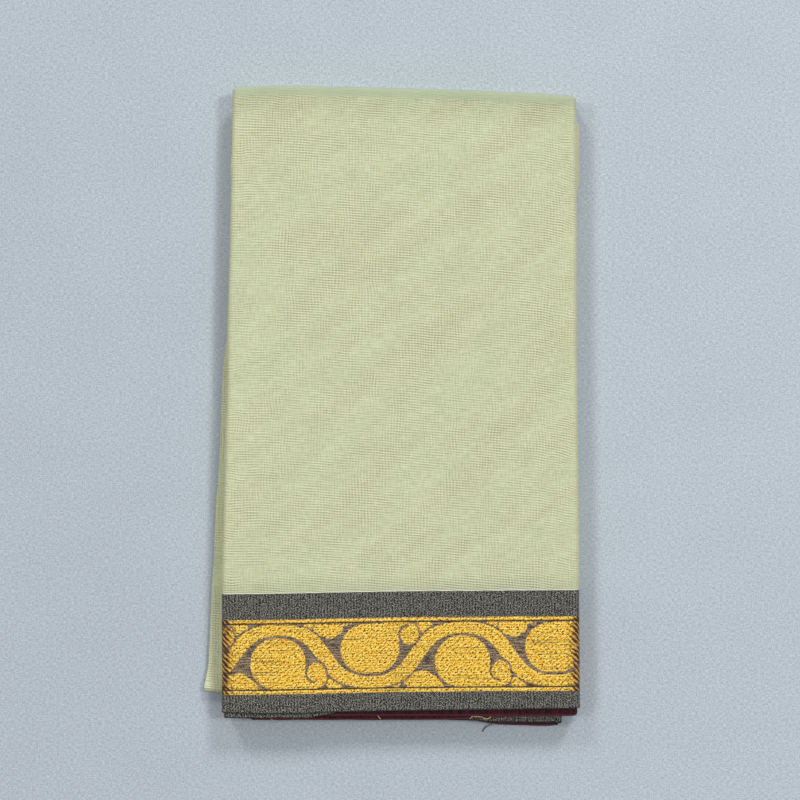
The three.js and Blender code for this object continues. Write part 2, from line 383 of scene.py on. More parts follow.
def connect(value, shader, socket):
    shader.id_data.links.new(value, shader.inputs[socket])


def weave(shader, colour, height, strength, distance=0.0005):
    """The cloth's colour, and its threads raised where their shade is light."""
    connect(colour, shader, "Base Color")
    bump = add_node("ShaderNodeBump", {"Height": height, "Strength": strength, "Distance": distance})
    connect(bump.outputs[0], shader, "Normal")


def thread_lines(threads, pitch_u, pitch_v, wander=0.0, pulled=None):
    """Regular lines of threads: a sine over the cloth, that repeats by these steps along and across.
    Pulled is how far the folds have drawn the threads aside."""
    turns = (2 * math.pi / pitch_u if pitch_u else 0.0, 2 * math.pi / pitch_v if pitch_v else 0.0, 0.0)
    phase = add_node("ShaderNodeVectorMath", {0: threads, 1: turns}, operation="DOT_PRODUCT").outputs["Value"]
    if wander:
        drift = thread_noise(threads, 0.030, 0.030, detail=1.0, seed=6.6)
        phase = summed(phase, times(drift, wander))
    if pulled:
        phase = summed(phase, pulled)
    return summed(phase, 0.0, "SINE")


def shaded(colour, light):
    """A colour made lighter or darker by a number."""
    grey = add_node("ShaderNodeCombineColor", {0: light, 1: light, 2: light}).outputs[0]
    return mixed(1.0, colour, grey, "MULTIPLY")


field_cotton, shader, threads, off_selvedge = start_cloth("field_cotton", 0.85, 0.10)
clouds = thread_noise(threads, 0.130, 0.026, turned=-0.68, seed=5.4)
wash = thread_noise(threads, 0.160, 0.120, detail=1.0, seed=8.8)
off_back = carried(threads, "off_back")
off_side = carried(threads, "off_side")
near_fold = ranged(summed(off_back, off_side, "MINIMUM"), 0.002, 0.040, 1.0, 0.0)
pull = thread_noise(threads, 0.020, 0.026, turned=0.5, seed=2.6)
pulled = times(times(pull, near_fold), 16.0)
roll_zone = ranged(off_back, 0.0080, 0.0115, 1.0, 0.0)
across_lines = thread_lines(threads, 0.0254, 0.00247, wander=3.5, pulled=pulled)
upright_lines = thread_lines(threads, 0.00285, 0, wander=10.0)
pores = times(summed(across_lines, 0.0, "MINIMUM"), summed(upright_lines, 0.0, "MINIMUM"))
close_rows = thread_noise(threads, 0.050, 0.022, seed=4.1)
close_upright = thread_noise(threads, 0.016, 0.060, seed=6.3)
across_share = summed(ranged(close_rows, 0.34, 0.66, 0.14, 0.62), ranged(clouds, 0.40, 0.72, 0.0, 0.30))
across_share = times(across_share, ranged(roll_zone, 0.0, 1.0, 1.0, 0.12))
upright_share = summed(ranged(close_upright, 0.38, 0.68, 0.04, 0.44), ranged(clouds, 0.40, 0.72, 0.0, 0.26))
dashes = thread_noise(threads, 0.0120, 0.00125, seed=4.1)
upright_dashes = thread_noise(threads, 0.0014, 0.0090, seed=1.3)
uneven = summed(summed(dashes, upright_dashes), 1.0, "SUBTRACT")
by_border = ranged(off_selvedge, border_width + 0.010, border_width + 0.016, 1.0, 0.0)
by_border = times(by_border, ranged(close_rows, 0.40, 0.60, 0.30, 1.0))
across_share = summed(across_share, times(by_border, 0.45))
upright_share = summed(upright_share, times(by_border, 0.35))
upright_share = times(upright_share, ranged(near_fold, 0.0, 1.0, 1.0, 0.35))
patchy = thread_noise(threads, 0.0090, 0.0055, detail=2.0, seed=9.4)
thread_shade = summed(times(across_lines, across_share), times(upright_lines, upright_share))
thread_shade = times(thread_shade, ranged(patchy, 0.36, 0.64, 0.45, 1.55))
thread_shade = summed(thread_shade, times(uneven, 1.5))
open_share = summed(ranged(clouds, 0.46, 0.70, 0.05, 0.45), by_border, "MAXIMUM")
pistachio = laid_over((0.578, 0.620, 0.386, 1), (
    (ranged(clouds, 0.40, 0.74, 0.0, 0.9), (0.602, 0.594, 0.368, 1)),
    (ranged(wash, 0.35, 0.65, 0.0, 0.30), (0.580, 0.607, 0.370, 1)),
    (ranged(thread_shade, 0.0, -0.8, 0.0, 0.40), (0.330, 0.345, 0.185, 1)),
    (ranged(thread_shade, 0.0, 0.8, 0.0, 0.40), (0.830, 0.850, 0.640, 1)),
    (times(pores, open_share), (0.215, 0.220, 0.115, 1)),
    (ranged(off_selvedge, border_width, border_width + 0.016, 0.55, 0.0), (0.430, 0.455, 0.310, 1)),
    (ranged(off_selvedge, border_width + 0.0006, border_width + 0.0013, 0.80, 0.0),
     (0.780, 0.800, 0.620, 1)),
    # Painted shade on the back roll: a darker, greener tint, the roll's cloth also being sheerer there.
    (times(roll_zone, 0.85), (0.518, 0.592, 0.390, 1)),
    # Painted shadow along the rim of the back roll, bluish grey-green.
    (ranged(off_back, 0.0005, 0.0021, 0.95, 0.0), (0.330, 0.385, 0.350, 1)),
    # Painted shade on the side folds: a darker ochre tint.
    (ranged(off_side, 0.0005, 0.0050, 0.70, 0.0), (0.500, 0.480, 0.300, 1))))
down_cloth = ranged(off_selvedge, 0.12, 0.60, 0.968, 1.004)
# Painted shade: the field darker towards the back fold.
back_fold_shade = ranged(off_back, 0.010, 0.036, 0.865, 1.0)
plies_below = thread_noise(threads, 0.050, 0.020, turned=-0.55, detail=2.5, seed=3.7)
see_through = ranged(plies_below, 0.32, 0.68, 1.028, 0.970)
pistachio = shaded(shaded(shaded(pistachio, down_cloth), back_fold_shade), see_through)
weave(shader, pistachio, thread_shade, 0.35)

coarse_stations = remembered(lambda y: outer_path(y, field_steps))
station_count = len(outer_path(0.0, field_steps))


def top_place(station, row):
    return outer_place(coarse_stations, row, station)


top_field = woven_sheet("top_field_cloth", station_count, outer_rows(border_width, None, 0.0035),
                        top_place, [field_cotton], outermost=True)
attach(top_field, "root")
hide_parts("top_field")


# Charcoal bands of the border: cotton dyed near black, with paler yarns among the dark ones, woven
# in one with the field on either side of the gold band. The outer one ends in the selvedge.
zari_low = 0.016
zari_high = 0.0885
charcoal_cotton, shader, threads, off_selvedge = start_cloth("charcoal_cotton", 0.8, 0.05)
yarns = thread_noise(threads, 0.0013, 0.0060, seed=3.3)
yarn_lines = thread_lines(threads, 0.00285, 0, wander=5.0)
twill_lines = thread_lines(threads, 0.00285, 0.00241, wander=4.0)
pepper = thread_noise(threads, 0.0012, 0.0012, seed=9.2, rough=0.6)
salt = thread_noise(threads, 0.0011, 0.0011, detail=1.0, seed=4.8, rough=0.6)
regular = summed(times(yarn_lines, 0.085), times(twill_lines, 0.060))
charcoal_shade = summed(summed(times(yarns, 0.3), pepper), regular)
charcoal = laid_over((0.000, 0.000, 0.000, 1), (
    (ranged(charcoal_shade, 0.612, 0.752), (0.152, 0.147, 0.132, 1)),
    (ranged(salt, 0.62, 0.69, 0.0, 0.85), (0.460, 0.440, 0.380, 1)),
    # Painted shadow: a dark line along the selvedge edge.
    (ranged(off_selvedge, 0.0007, 0.0013, 0.80, 0.0), (0.008, 0.008, 0.007, 1))))
weave(shader, charcoal, charcoal_shade, 0.45)

charcoal_bands = {"top_charcoal_outer": (0.0, zari_low), "top_charcoal_inner": (zari_high, border_width)}
for node_name, (start, end) in charcoal_bands.items():
    band = woven_sheet(node_name + "_cloth", station_count, outer_rows(start, end, 0.0025),
                       top_place, [charcoal_cotton], outermost=True)
    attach(band, "root")
    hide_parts(node_name)


# Gold band: metal-wrapped yarn floated over a brown cotton ground, with a creeper that runs between
# two gold lines and a mango figure in each of its bends. The figures stand a hair above the ground.
creeper_period = 0.178
creeper_crest = -0.109
creeper_middle = 0.0364
creeper_swing = 0.0259
bend_fullness = 1.25
figure_outline = 0.0022


def creeper_line(u):
    """Height of the creeper's stem above the band's lower edge, in metres, and its slope. Its
    bends are fuller than a plain wave's."""
    turn = 2 * math.pi * (u - creeper_crest) / creeper_period
    wave = math.tanh(bend_fullness * math.cos(turn))
    bend = wave / math.tanh(bend_fullness)
    slope = -math.sin(turn) * bend_fullness * (1 - wave ** 2) / math.tanh(bend_fullness)
    return (creeper_middle + creeper_swing * bend,
            creeper_swing * slope * 2 * math.pi / creeper_period)


def drop_chain(start, end, bow, first, last, count=9):
    """Discs from a figure's body to its tip, each smaller than the one before."""
    discs = []
    for step in range(count + 1):
        share = step / count
        sideways = 4 * share * (1 - share) * bow
        along = (end[0] - start[0], end[1] - start[1])
        length = math.hypot(*along)
        discs.append((start[0] + along[0] * share - along[1] / length * sideways,
                      start[1] + along[1] * share + along[0] / length * sideways,
                      first + (last - first) * share))
    return discs


# Each figure is made of discs: how far on from the crest or trough, how high in the band, and its
# radius. A curl is the round end of a mango's tail, parted from its body by a curved line.
lower_curl = (0.0362, 0.0208, 0.0094)
lower_mango = [(-0.0022, 0.0298, 0.0247), (0.0018, 0.0296, 0.0247), lower_curl]
lower_mango += drop_chain((0.010, 0.0190), (0.0380, 0.0150), -0.0020, 0.0136, 0.0088)
upper_curl = (0.0372, 0.0556, 0.0094)
upper_mango = [(-0.0048, 0.0428, 0.0240), (0.0035, 0.0432, 0.0243), upper_curl]
upper_mango += drop_chain((0.010, 0.0540), (0.0380, 0.0590), 0.0020, 0.0125, 0.0078)
top_leaf = [(0.0425, 0.0615, 0.0066), (0.0500, 0.0608, 0.0078), (0.0565, 0.0628, 0.0058)]
top_leaf += drop_chain((0.0350, 0.0640), (0.0700, 0.0672), 0.0, 0.0042, 0.0012)
foot_leaf = [(-0.0510, 0.0105, 0.0056), (-0.0440, 0.0124, 0.0076), (-0.0375, 0.0130, 0.0083)]
foot_leaf += drop_chain((-0.0330, 0.0115), (-0.0195, 0.0058), 0.0008, 0.0068, 0.0012)
top_bud = [(0.0285, 0.0655, 0.0050)]
foot_bud = drop_chain((0.0520, 0.0095), (0.0580, 0.0085), 0.0, 0.0054, 0.0036)
trough_bud = [(-0.0640, 0.0085, 0.0038)]
shoulder_bud = drop_chain((-0.0400, 0.0632), (-0.0330, 0.0640), 0.0, 0.0056, 0.0040)


def off_discs(discs, u, v):
    return min(math.hypot(u - disc_u, v - disc_v) - size for disc_u, disc_v, size in discs)


def off_curl_line(curl, u, v, first_turn, last_turn):
    """Distance from the line that parts a curl from its body, between two angles round the curl."""
    turn = math.atan2(v - curl[1], u - curl[0]) % (2 * math.pi)
    turn = min(max(turn, first_turn), last_turn)
    return math.hypot(u - curl[0] - curl[2] * math.cos(turn), v - curl[1] - curl[2] * math.sin(turn))


def gold_figure(u, v):
    """Distance from the gold, in millimetres: below zero on the gold, above it on the ground."""
    v = v - zari_low
    stem_v, stem_slope = creeper_line(u)
    stem = abs(v - stem_v) / math.sqrt(1 + stem_slope ** 2)
    stem -= 0.0054 + 0.0016 * min(abs(stem_slope), 1.0)
    from_crest = (u - creeper_crest + creeper_period / 2) % creeper_period - creeper_period / 2
    from_trough = (u - creeper_crest) % creeper_period - creeper_period / 2
    lower = off_discs(lower_mango, from_crest, v)
    upper = off_discs(upper_mango, from_trough, v)
    covered = min(lower, upper)
    lower = max(lower, figure_outline / 2 - off_curl_line(lower_curl, from_crest, v, 2.3, 4.6))
    upper = max(upper, figure_outline / 2 - off_curl_line(upper_curl, from_trough, v, 1.7, 4.0))
    gold = min(lower, upper, max(stem, figure_outline - covered))
    covered = min(covered, stem)
    for discs in (top_bud, foot_bud, shoulder_bud, top_leaf, foot_leaf, trough_bud):
        part = off_discs(discs, from_crest, v)
        gold = min(gold, max(part, figure_outline * 0.7 - covered))
        covered = min(covered, part)
    gold = max(gold, 0.0050 - v, v - 0.0678)
    lower_line = abs(v - 0.0022) - 0.0017
    upper_line = abs(v - 0.0707) - 0.0016
    return 1000 * min(gold, lower_line, upper_line)


gold_zari, shader, threads, off_selvedge = start_cloth("gold_zari", 0.45, 0.0)
figure = carried(threads, "figure")
off_side = carried(threads, "off_side")
frayed = thread_noise(threads, 0.0012, 0.0022, detail=2.0, seed=1.9)
figure = summed(figure, ranged(frayed, 0.3, 0.7, -0.50, 0.50))
on_gold = ranged(figure, 0.25, -0.25)
slant = thread_lines(threads, -0.00610, 0.00482, wander=9.0)
across_lines = thread_lines(threads, 0, 0.00241, wander=4.0)
floats = thread_noise(threads, 0.0012, 0.0030, turned=0.85, seed=2.7, rough=0.6)
glints = thread_noise(threads, 0.0013, 0.0012, seed=7.7, rough=0.6)
missed_picks = thread_noise(threads, 0.070, 0.0011, detail=1.0, seed=3.8)
lines = summed(times(slant, 0.050), times(across_lines, 0.075))
float_shade = summed(summed(floats, glints), lines)
# Painted shade near the side folds, where the floats turn away from the light: the gold and its ground darker
# and browner there, and the threads' strokes darker still.
fold_zone = ranged(off_side, 0.0055, 0.0092, 1.0, 0.0)
stroke_zone = ranged(off_side, 0.0060, 0.0165, 1.0, 0.0)
stroke_lines = thread_lines(threads, 0.0058, 0.0052, wander=7.0)
strokes = thread_noise(threads, 0.0017, 0.0075, turned=-0.80, seed=5.1)
strokes = summed(strokes, times(stroke_lines, 0.17))
stroke_depth = times(ranged(strokes, 0.54, 0.40), stroke_zone)
gold_fold_shade = mixed(ranged(strokes, 0.47, 0.66), (0.045, 0.018, 0.008, 1), (0.600, 0.310, 0.070, 1))
gold = laid_over((0.090, 0.020, 0.002, 1), (
    (ranged(float_shade, 0.785, 0.925), (1.000, 0.508, 0.012, 1)),
    # Painted highlight: the brightest floats tinted pale yellow, standing in for light glinting off the metal
    # yarn.
    (ranged(float_shade, 1.04, 1.16), (1.000, 0.910, 0.270, 1)),
    (ranged(missed_picks, 0.66, 0.71, 0.0, 0.65), (0.110, 0.055, 0.030, 1)),
    (stroke_depth, (0.110, 0.038, 0.008, 1)),
    (fold_zone, gold_fold_shade)))
ground_lines = thread_noise(threads, 0.0100, 0.0012, seed=8.3)
ground_shade = summed(ground_lines, glints)
# Painted shade: the ground darker and browner at the side folds.
ground_fold_shade = mixed(ranged(strokes, 0.47, 0.66), (0.050, 0.026, 0.014, 1), (0.290, 0.180, 0.100, 1))
ground = laid_over((0.042, 0.027, 0.018, 1), (
    (ranged(ground_shade, 0.84, 1.14), (0.365, 0.268, 0.172, 1)),
    (ranged(across_lines, 0.2, 1.0, 0.0, 0.45), (0.050, 0.030, 0.024, 1)),
    (fold_zone, ground_fold_shade)))
gold_cloth = mixed(on_gold, ground, gold)
for dark_pick in (0.0207, 0.0844):
    off_pick = summed(summed(off_selvedge, dark_pick, "SUBTRACT"), 0.0, "ABSOLUTE")
    gold_cloth = mixed(ranged(off_pick, 0.0004, 0.0010, 0.85, 0.0), gold_cloth, (0.022, 0.014, 0.012, 1))
connect(times(on_gold, 0.20), shader, "Metallic")
connect(ranged(float_shade, 0.7, 1.3, 0.60, 0.36), shader, "Roughness")
weave(shader, gold_cloth, float_shade, 0.6)

zari_steps = 330
float_height = 0.00018
fine_stations = remembered(lambda y: outer_path(y, zari_steps))
fine_count = len(outer_path(0.0, zari_steps))


def zari_place(station, row):
    """The band's cloth, raised by its gold floats where it lies on top."""
    point, u, v = outer_place(fine_stations, row, station)
    rise = float_height * soft_step(0.5 - gold_figure(u, v) / 2) * soft_step((v - zari_low) / 0.0006)
    rise *= soft_step((zari_high - v) / 0.0006)
    return point + Vector((0, 0, rise if point.z > 0.018 else 0)), u, v


top_zari = woven_sheet("top_zari_cloth", fine_count, outer_rows(zari_low, zari_high, 0.001),
                       zari_place, [gold_zari], figure=gold_figure, outermost=True)
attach(top_zari, "root")
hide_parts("top_zari")


# Under stretch: the same cloth's ply that the pack lies on. It begins where the right spine turns in
# underneath, ends free at the left, and is rolled up at the back as the top one is rolled down.


def under_stations(steps):
    """Stations of the under ply for a row's y, from the right spine to its free end."""
    def stations(y):
        start = follow(right_edge, y) - spine_depth - under_turn
        end = follow(left_edge, y) + 0.003
        spine_length = math.pi * math.sqrt((spine_depth ** 2 + pack_height ** 2 / 4) / 2)
        return [(start + (end - start) * step / steps, 0.0, 0.0, -1.0,
                 start + 2 * under_turn + spine_length + (start - end) * step / steps)
                for step in range(steps + 1)]
    return stations


under_bands = {
    "under_field": (border_width, None, 0.005, 64, field_cotton, "field_cotton"),
    "under_charcoal_inner": (zari_high, border_width, 0.004, 64, charcoal_cotton, "charcoal_cotton"),
    "under_zari": (zari_low, zari_high, 0.0016, 200, gold_zari, "gold_zari"),
    "under_charcoal_outer": (0.0, zari_low, 0.004, 64, charcoal_cotton, "charcoal_cotton")}
for node_name, (start, end, spacing, steps, finish, slot_name) in under_bands.items():
    stations = under_stations(steps)
    under = woven_sheet(node_name + "_cloth", steps + 1, outer_rows(start, end, spacing),
                        lambda station, row: outer_place(stations, row, station, 0.0), [finish],
                        figure=gold_figure if finish is gold_zari else None)
    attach(under, "root")
    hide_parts(node_name)


# Selvedges of the inner plies: the charcoal and the maroon edge of the same length, layered at the
# front in the order that the folding gives. Each is one long strip that runs to and fro through the
# pack, round the folds at its sides, and its edges fan out a little in front.
ply_pitch = 0.0006875
strip_depth = 0.034
charcoal_order = [15, 16, 19, 12, 3, 28, 29, 2, 13, 18, 17, 14, 1, 30]
maroon_order = [24, 7, 8, 23, 20, 11, 4, 27, 26, 5, 10, 21, 22, 9, 6, 25]
fanned = {
    1: [(-0.170, -0.2985), (-0.079, -0.2985), (-0.056, -0.2944), (-0.045, -0.2870), (0.190, -0.2850)],
    2: [(-0.170, -0.2945), (-0.057, -0.2965), (0.0085, -0.2965), (0.163, -0.2970), (0.179, -0.2966)],
    3: [(-0.170, -0.2955), (-0.138, -0.2968), (-0.1365, -0.3012), (0.044, -0.3014), (0.086, -0.2995),
        (0.173, -0.2962)],
    4: [(-0.170, -0.2960), (0.000, -0.2985), (0.044, -0.3016), (0.083, -0.3027), (0.093, -0.3045),
        (0.164, -0.3050)],
    5: [(-0.170, -0.2950), (0.010, -0.2990), (0.090, -0.3030), (0.164, -0.3040)],
    6: [(-0.170, -0.2970), (0.000, -0.3000), (0.080, -0.3030), (0.094, -0.3060), (0.104, -0.3075),
        (0.139, -0.3087), (0.156, -0.3087), (0.161, -0.3079)],
    7: [(-0.170, -0.2950), (0.010, -0.2985), (0.100, -0.2995), (0.145, -0.2960), (0.170, -0.2945)],
    8: [(-0.170, -0.2935), (0.010, -0.2955), (0.140, -0.2940), (0.168, -0.2868), (0.190, -0.2864)],
}
held_back = [0.0007, 0.0, 0.0016, 0.0009]
left_set_back = {4: 0.0030, 5: 0.0016, 7: 0.0020}
right_set_back = {2: 0.0020, 3: 0.0105, 4: 0.0105, 5: 0.0146}


def group_of(ply):
    """Which fan of selvedges a ply belongs to, counted from the top."""
    return 1 if ply < 4 else 8 if ply > 27 else 1 + ply // 4


def ply_height(ply):
    return pack_height - ply_pitch * (ply + 0.5)


def ply_ends(ply, y):
    """The x where a ply's flat run starts its turns at the left and at the right. Some quarters
    are set back at the front."""
    quarter = ply // 4
    front_share = 1 - soft_step((y + 0.30) / 0.20)
    left_turn = follow(left_edge, y)
    if ply < 16:
        left_turn += left_depth + 0.0014 * front_share
    else:
        left_turn += left_set_back.get(quarter, 0.0024) + 0.0008
    right_turn = follow(right_edge, y) - spine_depth - right_set_back.get(quarter, 0.0) * front_share
    return left_turn, right_turn


def strip_stations(order, y, steps=96, turn_steps=8):
    """The path of a strip through the pack: x, z, ply and length along the cloth. Its first fold
    is at the right."""
    stations = []
    length = 0.0
    going_right = True
    for number, ply in enumerate(order):
        left_turn, right_turn = ply_ends(ply, y)
        start, end = (left_turn, right_turn) if going_right else (right_turn, left_turn)
        for step in range(steps + 1):
            stations.append((start + (end - start) * step / steps, ply_height(ply), ply,
                             length + abs(end - start) * step / steps))
        length += abs(end - start)
        if number + 1 < len(order):
            below = order[number + 1]
            other_end = ply_ends(below, y)[1 if going_right else 0]
            half = abs(ply_height(ply) - ply_height(below)) / 2
            middle = (ply_height(ply) + ply_height(below)) / 2
            if going_right:
                reach = half * 0.85 * (1 - min(abs(other_end - end) / 0.030, 0.8))
            else:
                reach = -half * 0.90
            for step in range(1, turn_steps):
                turn = math.pi * step / turn_steps
                share = step / turn_steps
                moved = soft_step(share / 0.45) if ply < below else 1 - soft_step((1 - share) / 0.45)
                stations.append((end + (other_end - end) * moved + reach * math.sin(turn),
                                 middle + (ply_height(ply) - middle) * math.cos(turn),
                                 ply if share < 0.5 else below, length + half * turn))
            length += math.pi * half
        going_right = not going_right
    return stations


def strip_place(order):
    """Lays a strip: its rows run from the fanned edge in front into the pack."""
    stations_at = remembered(lambda y: strip_stations(order, y))

    def place(station, row):
        x, z, ply, u = stations_at(round(-0.292 + row, 4))[station]
        edge = follow(fanned[group_of(ply)], x) + held_back[ply % 4]
        edge += 0.0004 * noise.noise(Vector((x * 60, ply * 3.7, 0.5)))
        edge += 0.00015 * noise.noise(Vector((x * 400, ply * 3.7, 2.5)))
        settle = soft_step(row / strip_depth)
        y = edge + (front_y + row - edge) * settle + row * (1 - settle)
        sway = 0.00010 * noise.noise(Vector((x * 24, ply * 5.1, row * 20)))
        return Vector((x, y, z + sway)), u, row
    return place


def weave_at(v):
    """Which weave lies this far off the selvedge: an edge band's, the gold band's or the field's."""
    if v < zari_low or zari_high < v < border_width:
        return 0
    return 1 if v < zari_high else 2


strip_rows = [0.0, 0.0012, 0.004, 0.008, 0.0125, 0.016, 0.022, 0.028, strip_depth]
maroon_cotton, shader, threads, off_selvedge = start_cloth("maroon_cotton", 0.85, 0.02)
yarns = thread_noise(threads, 0.0013, 0.012, detail=3.0, seed=4.6)
pepper = thread_noise(threads, 0.0013, 0.0014, detail=3.0, seed=0.7)
maroon_shade = summed(yarns, pepper)
maroon = laid_over((0.003, 0.000, 0.001, 1), (
    (ranged(maroon_shade, 0.80, 1.20), (0.072, 0.009, 0.019, 1)),
    # Painted highlight: a lighter line along the selvedge edge.
    (ranged(off_selvedge, 0.0004, 0.0012, 0.65, 0.0), (0.175, 0.042, 0.062, 1))))
weave(shader, maroon, maroon_shade, 0.45, 0.0006)

charcoal_strip = woven_sheet(
    "charcoal_selvedges", len(strip_stations(charcoal_order, 0.0)), strip_rows,
    strip_place(charcoal_order), [charcoal_cotton, gold_zari], weave_at, 0.0, gold_figure)
maroon_strip = woven_sheet(
    "maroon_selvedges", len(strip_stations(maroon_order, 0.0)), strip_rows,
    strip_place(maroon_order), [maroon_cotton], offset=0.0)
for strip, nodes, finish, length in (
        (charcoal_strip, ["selvedge_1_charcoal", "selvedge_4_charcoal", "selvedge_5_charcoal",
                          "selvedge_8_charcoal"], "charcoal_cotton", 4.8),
        (maroon_strip, ["selvedge_2_maroon", "selvedge_3_maroon", "selvedge_6_maroon",
                        "selvedge_7_maroon"], "maroon_cotton", 5.5)):
    strip.modifiers["cloth_thickness"].thickness = 0.00048
    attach(strip, "root")
    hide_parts(*nodes)


# Back folds of the second and third quarter: the rolls of field cloth below the top one, seen from
# behind. One sheet carries both, round the inside of the right spine.
inner_back_roll = 0.0024
upper_run_z = 0.0164
lower_run_z = 0.0056
half_turn_length = 0.0157
fold_v = 0.58


def back_fold_stations(y):
    """Stations across both rolls: the upper run, the turn inside the spine and the lower run."""
    left = follow(left_edge, y) + 0.008
    right = follow(right_edge, y) - spine_depth - 0.001
    stations = [(left + (right - left) * step / 60, upper_run_z, 0.0, 1.0,
                 left + (right - left) * step / 60) for step in range(61)]
    for step in range(1, 12):
        turn = math.pi * (0.5 - step / 12)
        out = Vector((math.cos(turn), math.sin(turn)))
        stations.append((right + 0.0046 * out.x, 0.011 + 0.0054 * out.y, out.x, out.y,
                         right + half_turn_length * step / 12))
    stations += [(right + (left - right) * step / 60, lower_run_z, 0.0, -1.0,
                  right + half_turn_length + (right - left) * step / 60) for step in range(61)]
    return stations


back_fold_known = back_fold_stations(0.295)


def back_fold_place(station, row):
    kind, value = row
    x, z, out_x, out_z, u = back_fold_known[station]
    turn_y = follow(back_line, x) - inner_back_roll - (0.0022 if z > 0.011 else 0.0012)
    turn_y += 0.0006 * noise.noise(Vector((x * 20, z * 300, 4.4)))
    if kind == "run":
        return Vector((x, turn_y - value, z)), u, fold_v - value
    if kind == "roll":
        drop = inner_back_roll * (1 - math.cos(value))
        return (Vector((x - out_x * drop, turn_y + inner_back_roll * math.sin(value), z - out_z * drop)),
                u, fold_v + inner_back_roll * value)
    drop = 2 * inner_back_roll
    return Vector((x - out_x * drop, turn_y - value, z - out_z * drop)), u, fold_v + 0.0075 + value


back_rows = [("run", 0.024), ("run", 0.012), ("run", 0.0)]
back_rows += [("roll", math.pi * step / 12) for step in range(1, 13)]
back_rows += [("inside", 0.010), ("inside", 0.020)]
back_folds = woven_sheet("back_folds_cloth", len(back_fold_known), back_rows, back_fold_place,
                         [field_cotton])
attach(back_folds, "root")
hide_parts("back_fold_2", "back_fold_3")


# Left folds of the lower half: turns of the same cloth, one inside the other. Behind the selvedge
# strips each shows its border bands, then the field.
left_turns = {"left_fold_upper": [(16, 19), (17, 18)], "left_fold_middle": [(20, 23), (21, 22)],
              "left_fold_lower": [(28, 29), (26, 27)]}
fold_run = 0.012
turn_rows = [-0.2565 + 0.0085 * step for step in range(10)]
turn_rows += [-0.176 + 0.0139 * step for step in range(34)]


def left_turn_place(upper, half, middle):
    """Lays a turn: a run on the lower ply, round the fold, and a run under the upper ply."""
    def place(station, row):
        left_turn = ply_ends(upper, row)[0] + 0.0004 * noise.noise(Vector((row * 18, upper, 6.2)))
        v = row + 0.2905
        if station < 3:
            return (Vector((left_turn + fold_run * (1 - station / 3), row, middle - half)),
                    fold_run * station / 3, v)
        if station > 15:
            return (Vector((left_turn + fold_run * (station - 15) / 3, row, middle + half)),
                    fold_run * station / 3, v)
        turn = math.pi * (station - 3) / 12
        return (Vector((left_turn - half * 0.9 * math.sin(turn), row, middle - half * math.cos(turn))),
                fold_run + half * turn, v)
    return place


for node_name, pairs in left_turns.items():
    for number, (upper, lower) in enumerate(pairs):
        half = (ply_height(upper) - ply_height(lower)) / 2
        middle = (ply_height(upper) + ply_height(lower)) / 2
        edge_band = charcoal_cotton if upper < 20 or upper > 27 else maroon_cotton
        fold = woven_sheet(f"{node_name}_turn_{number + 1}", 19, turn_rows,
                           left_turn_place(upper, half, middle), [edge_band, gold_zari, field_cotton],
                           weave_at, 0.0, gold_figure)
        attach(fold, "root")
        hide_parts(node_name)


# Plain end: the last stretch of the length, woven without a border. Two plies of it stand out from
# the pack at the lower left, flared at the front corner, with a crease across.
plain_outer = [(-0.285, -0.1815), (-0.2752, -0.1820), (-0.2716, -0.1827), (-0.249, -0.1785),
               (-0.207, -0.1764), (-0.173, -0.1752), (-0.145, -0.1729), (-0.089, -0.1709),
               (-0.076, -0.1694), (-0.046, -0.1676), (-0.0156, -0.1664), (0.0147, -0.1654),
               (0.046, -0.1634), (0.066, -0.1611), (0.094, -0.1593), (0.150, -0.1570)]
plain_front = [(-0.184, -0.2745), (-0.182, -0.2752), (-0.1667, -0.2773), (-0.060, -0.2760)]
plain_corner_y = -0.275
plain_length = 0.415
plain_inner_x = -0.060


def plain_place(ply):
    """Lays one ply: straight under the pack, drooping and flared where it stands out."""
    def place(station, row):
        share = station / 40
        y = plain_corner_y + plain_length * row
        outer = follow(plain_outer, y)
        if ply == 25:
            outer += 0.0012 * soft_step((y + 0.25) / 0.10) * (1 - soft_step((y + 0.06) / 0.05)) + 0.0003
        x = outer + (plain_inner_x - outer) * share ** 1.6
        y += (follow(plain_front, x) - plain_corner_y) * (1 - row) ** 8
        outside = soft_step((-0.1600 - x) / 0.010)
        droop = 0.0009 * outside * soft_step((-0.05 - y) / 0.2)
        flare = 0.0014 * outside * soft_step((-0.255 - y) / 0.015)
        across = math.exp(-((y + 0.266 + 0.2 * (x + 0.174)) / 0.0022) ** 2)
        wave = 0.0004 * noise.noise(Vector((y * 26, ply * 2.0, 1.1))) * outside
        z = ply_height(ply) - droop + flare - 0.0009 * across * outside + wave
        return Vector((x, y, z)), x, y + 0.85
    return place


for ply in (24, 25):
    plain = woven_sheet(f"plain_end_ply_{ply - 23}", 41, [step / 120 for step in range(121)],
                        plain_place(ply), [field_cotton], offset=0.0)
    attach(plain, "root")
    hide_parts("plain_end")


# Hidden plies: the rest of the field's cloth inside the pack, a strip as wide as the pack is deep
# that runs to and fro between the folds.
hidden_front = -0.2560
hidden_depth = 0.556
pack_middle = 0.0135
hidden_stations = remembered(lambda y: strip_stations(charcoal_order, y, steps=10, turn_steps=6))


def hidden_place(station, row):
    """Lays the strip a little inside the outer ply and the back roll."""
    x, z, ply, u = hidden_stations(hidden_front + hidden_depth * row)[station]
    x = pack_middle + (x - pack_middle) * 0.975
    y = hidden_front + row * (follow(back_line, x) - 0.008 - hidden_front)
    return Vector((x, y, z)), u, strip_depth + hidden_depth * row


hidden_plies = woven_sheet("inner_plies_cloth", len(strip_stations(charcoal_order, 0.0, 10, 6)),
                           [step / 12 for step in range(13)], hidden_place, [field_cotton], offset=0.0)
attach(hidden_plies, "root")
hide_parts("inner_plies")


